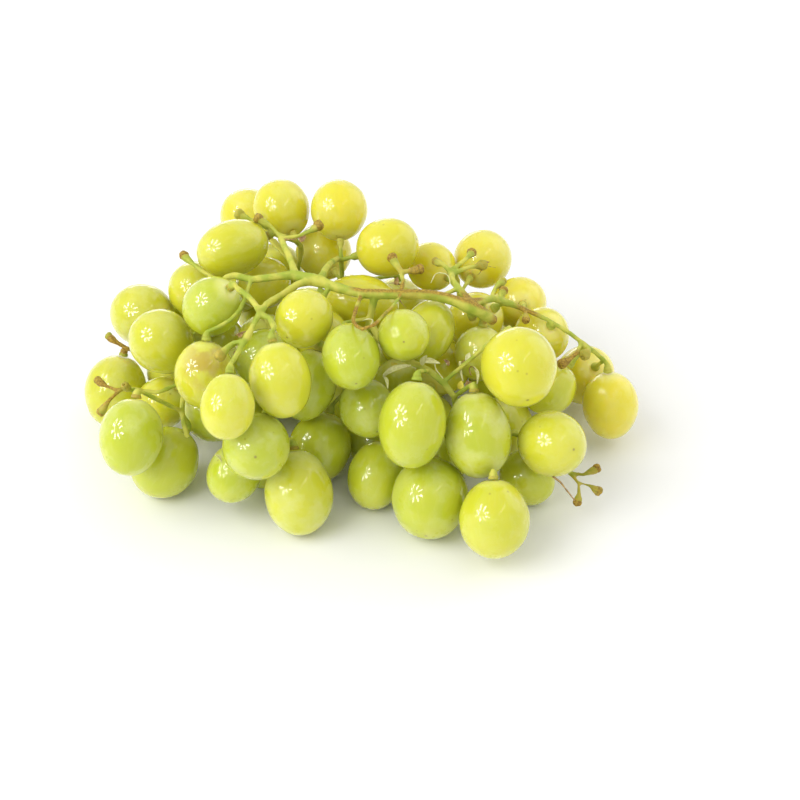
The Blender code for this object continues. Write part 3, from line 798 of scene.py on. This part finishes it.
def skin_material(name, groups, green, yellow, pale):
    """Grape skin: green to yellow by ripeness, paler round the stalk, with veins, bloom and specks."""
    made, nodes, links, shader = new_material(name)
    place = nodes.new("ShaderNodeTexCoord").outputs["Object"]
    local = attribute(nodes, "local").outputs["Vector"]
    ripeness = attribute(nodes, "ripeness").outputs["Fac"]
    blotches = noise_node(nodes, links, place, 75.0, 2.0)
    shift = math_node(nodes, links, "MULTIPLY_ADD", blotches, 0.5)
    shift.node.inputs[2].default_value = -0.25
    ripe = math_node(nodes, links, "ADD", ripeness, shift, clamp=True)
    colour = mix(nodes, links, ripe, green, yellow)
    veins = use(nodes, links, groups["veins"], Local=local)
    colour = mix(nodes, links, math_node(nodes, links, "MULTIPLY", veins, 0.06), colour, pale)
    height = nodes.new("ShaderNodeSeparateXYZ")
    links.new(local, height.inputs[0])
    rim = ramp(nodes, links, height.outputs[2], 0.78, 0.985)
    colour = mix(nodes, links, math_node(nodes, links, "MULTIPLY", rim, 0.6), colour, pale)
    scar = ramp(nodes, links, height.outputs[2], -0.9965, -0.9990, 0.0, 0.7)
    colour = mix(nodes, links, scar, colour, SCAR)
    blush = attribute(nodes, "blush").outputs["Fac"]
    patchy = ramp(nodes, links, noise_node(nodes, links, place, 160.0, 3.0), 0.35, 0.6)
    blushed = math_node(nodes, links, "MULTIPLY", blush, patchy)
    colour = mix(nodes, links, math_node(nodes, links, "MULTIPLY", blushed, 0.6), colour, BLUSH)
    bloom_amount = attribute(nodes, "bloom").outputs["Fac"]
    film = use(nodes, links, groups["bloom"], Vector=place, Amount=bloom_amount)
    colour = mix(nodes, links, math_node(nodes, links, "MULTIPLY", film, 0.42), colour, WAX)
    specks = use(nodes, links, groups["specks"], Vector=place, Scale=330.0, Amount=0.06)
    colour = mix(nodes, links, math_node(nodes, links, "MULTIPLY", specks, 0.38), colour, SKIN_SPECK)
    links.new(colour, shader.inputs["Base Color"])
    links.new(ramp(nodes, links, film, 0.0, 0.6, 0.24, 0.50), shader.inputs["Roughness"])
    bump = nodes.new("ShaderNodeBump")
    bump.inputs["Strength"].default_value = 0.10
    bump.inputs["Distance"].default_value = 0.0003
    links.new(noise_node(nodes, links, place, 500.0, 2.0), bump.inputs["Height"])
    links.new(bump.outputs["Normal"], shader.inputs["Normal"])
    shader.inputs["Subsurface Weight"].default_value = 1.0
    shader.inputs["Subsurface Radius"].default_value = (1.0, 0.85, 0.22)
    shader.inputs["Subsurface Scale"].default_value = 0.009
    shader.inputs["Specular IOR Level"].default_value = 0.22
    shader.inputs["Coat Weight"].default_value = 0.9
    shader.inputs["Coat Roughness"].default_value = 0.012
    shader.inputs["IOR"].default_value = 1.42
    return made


def dried_material(name, dark, light):
    """Papery dried tissue, streaked between two tones."""
    made, nodes, links, shader = new_material(name)
    place = nodes.new("ShaderNodeTexCoord").outputs["Object"]
    streaks = noise_node(nodes, links, place, 900.0, 3.0, 0.6)
    links.new(mix(nodes, links, ramp(nodes, links, streaks, 0.35, 0.65), dark, light),
              shader.inputs["Base Color"])
    links.new(ramp(nodes, links, streaks, 0.3, 0.7, 0.55, 0.85), shader.inputs["Roughness"])
    bump = nodes.new("ShaderNodeBump")
    bump.inputs["Strength"].default_value = 0.5
    bump.inputs["Distance"].default_value = 0.0002
    links.new(streaks, bump.inputs["Height"])
    links.new(bump.outputs["Normal"], shader.inputs["Normal"])
    shader.inputs["Subsurface Weight"].default_value = 0.2
    shader.inputs["Subsurface Radius"].default_value = (1.0, 0.9, 0.4)
    shader.inputs["Subsurface Scale"].default_value = 0.001
    return made


def stem_material(groups):
    """Stem: fresh green with a soft grain, brown at the knots and where it has dried."""
    made, nodes, links, shader = new_material("bunch_stem_bark")
    place = nodes.new("ShaderNodeTexCoord").outputs["Object"]
    brown = attribute(nodes, "brown").outputs["Fac"]
    knot = attribute(nodes, "knot").outputs["Fac"]
    wide = noise_node(nodes, links, place, 160.0, 3.0)
    grain = noise_node(nodes, links, place, 1300.0, 3.0, 0.6)
    green = mix(nodes, links, ramp(nodes, links, wide, 0.35, 0.65), *BARK_GREEN)
    dry = mix(nodes, links, ramp(nodes, links, grain, 0.3, 0.7), *BARK_DRY)
    edge = math_node(nodes, links, "MULTIPLY_ADD", grain, 0.5)
    edge.node.inputs[2].default_value = -0.25
    amount = math_node(nodes, links, "ADD", brown, edge)
    amount = ramp(nodes, links, amount, 0.15, 0.85)
    colour = mix(nodes, links, amount, green, dry)
    worn = ramp(nodes, links, math_node(nodes, links, "ADD", knot, edge), 0.35, 1.1, 0.0, 0.75)
    colour = mix(nodes, links, worn, colour, dry)
    specks = use(nodes, links, groups["specks"], Vector=place, Scale=900.0, Amount=0.22)
    colour = mix(nodes, links, math_node(nodes, links, "MULTIPLY", specks, 0.7), colour, BARK_SPECK)
    links.new(colour, shader.inputs["Base Color"])
    links.new(ramp(nodes, links, grain, 0.3, 0.7, 0.5, 0.75), shader.inputs["Roughness"])
    shader.inputs["Specular IOR Level"].default_value = 0.25
    bump = nodes.new("ShaderNodeBump")
    bump.inputs["Strength"].default_value = 0.5
    bump.inputs["Distance"].default_value = 0.0002
    links.new(grain, bump.inputs["Height"])
    links.new(bump.outputs["Normal"], shader.inputs["Normal"])
    shader.inputs["Subsurface Weight"].default_value = 0.25
    shader.inputs["Subsurface Radius"].default_value = (1.0, 0.9, 0.3)
    shader.inputs["Subsurface Scale"].default_value = 0.0012
    return made


# ---------------------------------------------------------------- stage


def make_floor():
    deselect()
    bpy.ops.mesh.primitive_plane_add(size=8.0, location=(0, 0, -0.0002))
    floor = bpy.context.object
    floor.name = "pale_floor"
    made, nodes, links, shader = new_material("pale_floor")
    shader.inputs["Base Color"].default_value = (0.90, 0.90, 0.89, 1.0)
    shader.inputs["Roughness"].default_value = 0.6
    floor.data.materials.append(made)


def aim(thing, target):
    thing.rotation_euler = (Vector(target) - thing.location).to_track_quat("-Z", "Y").to_euler()


def area_light(name, place, size, power, size_y=None, roll=0.0):
    data = bpy.data.lights.new(name, "AREA")
    data.energy = power
    data.size = size
    if size_y:
        data.shape = "RECTANGLE"
        data.size_y = size_y
    light = bpy.data.objects.new(name, data)
    light.location = place
    bpy.context.scene.collection.objects.link(light)
    aim(light, (0, 0, 0.04))
    light.rotation_euler = (light.rotation_euler.to_matrix() @ Matrix.Rotation(roll, 3, "Z")).to_euler()
    return light


WORLD_LIGHT = 0.83
UMBRELLA_PLACE = Vector((-0.655, -0.388, 0.645)) * 1.2
UMBRELLA_PANELS = 8
UMBRELLA_SQUASH = 0.8  # the ring of panels is this much lower than it is wide
UMBRELLA_TURN = 0.3  # of the step from panel to panel


def make_lights():
    """An umbrella lamp high on the left, whose shiny panels lie like a flower's petals and show only
    as glints, a soft strip above, one behind, a wide sheet on the right, and even light all round."""
    world = bpy.data.worlds.new("soft_studio")
    bpy.context.scene.world = world
    world.use_nodes = True
    world.node_tree.nodes["Background"].inputs["Color"].default_value = (1.0, 1.0, 1.0, 1.0)
    world.node_tree.nodes["Background"].inputs["Strength"].default_value = WORLD_LIGHT
    facing = UMBRELLA_PLACE.to_track_quat("Z", "Y").to_matrix()
    for number in range(UMBRELLA_PANELS):
        turn = (number + UMBRELLA_TURN) * math.tau / UMBRELLA_PANELS
        reach = 0.36 if number % 3 else 0.43
        way = Vector((math.cos(turn), UMBRELLA_SQUASH * math.sin(turn), 0))
        place = UMBRELLA_PLACE + facing @ way * reach
        panel = area_light(f"umbrella_panel_{number}", place, 0.29, 1.5, 0.085, turn)
        panel.visible_diffuse = False
    lamp = area_light("umbrella_lamp", UMBRELLA_PLACE, 0.9, 9.2)
    lamp.visible_glossy = False
    area_light("top_strip", Vector((0.375, -0.36, 0.854)) * 1.2, 0.70, 0.5, 0.07, 0.2)
    area_light("back_strip", (-0.25, 1.2, 0.12), 0.6, 0.8, 0.10)
    area_light("right_sheet", (1.0, 0.55, 0.7), 1.2, 4.0)


VIEW_LIFT_DEG = 36
VIEW_TARGET = Vector((0.01546, -0.01925, 0.0294))
VIEW_DISTANCE = 0.5
VIEW_LENS_MM = 61.3


def make_camera():
    """Looks along +Y and down at the heap."""
    lift = math.radians(VIEW_LIFT_DEG)
    data = bpy.data.cameras.new("camera")
    data.lens = VIEW_LENS_MM
    camera = bpy.data.objects.new("camera", data)
    camera.location = VIEW_TARGET + Vector((0, -math.cos(lift), math.sin(lift))) * VIEW_DISTANCE
    bpy.context.scene.collection.objects.link(camera)
    aim(camera, VIEW_TARGET)
    bpy.context.scene.camera = camera


def main():
    groups = {"veins": veins_group(), "bloom": bloom_group(), "specks": specks_group()}
    skins = {
        "green_skin": skin_material("green_grape_skin", groups, *GREEN_SKIN),
        "ripe_skin": skin_material("ripe_grape_skin", groups, *RIPE_SKIN),
    }
    bark = stem_material(groups)
    finishes = {
        "straw": dried_material("dried_straw", *STRAW),
        "umber": dried_material("dried_umber", *UMBER),
        "yellow": dried_material("dried_yellow", *YELLOW),
    }
    stem_points = points_of("stem")
    masters = [
        master_grape("grape_master_oval", GRAPE_SEGMENTS, GRAPE_RINGS, 1.0, 1.0),
        master_grape("grape_master_egg", GRAPE_SEGMENTS, GRAPE_RINGS, 0.97, 1.015),
        master_grape("grape_master_pear", GRAPE_SEGMENTS, GRAPE_RINGS, 1.015, 0.975),
    ]
    inner_master = master_grape("inner_grape_master", INNER_SEGMENTS, INNER_RINGS, 1.0, 1.0)
    collars = make_grapes(masters, skins, stem_points)
    make_inner_grapes(inner_master, skins["green_skin"])
    make_stem(bark, collars)
    collar = master_collar()
    spots = [(place + axis * 0.0005, axis, random.uniform(0.9, 1.1)) for place, axis in collars]
    scatter("stalk_collars", collar, spots, bark, (0.1, 0.6))
    knob = master_knob()
    ends = []
    for number, (before, end) in enumerate(BARE_ENDS):
        way = np.array(end, float) - np.array(before, float)
        size = random.uniform(0.95, 1.15) * (SMALL_KNOB if number in SMALL_KNOBS else 1.0)
        ends.append((in_frame(end), way / np.linalg.norm(way), size))
    scatter("bare_stalk_knobs", knob, ends, bark, (0.45, 1.0))
    make_dried_remains(finishes)
    for leftover in masters + [inner_master, collar, knob]:
        bpy.data.objects.remove(leftover)
    make_floor()
    make_lights()
    make_camera()
    bpy.context.scene.view_settings.view_transform = "Standard"


main()
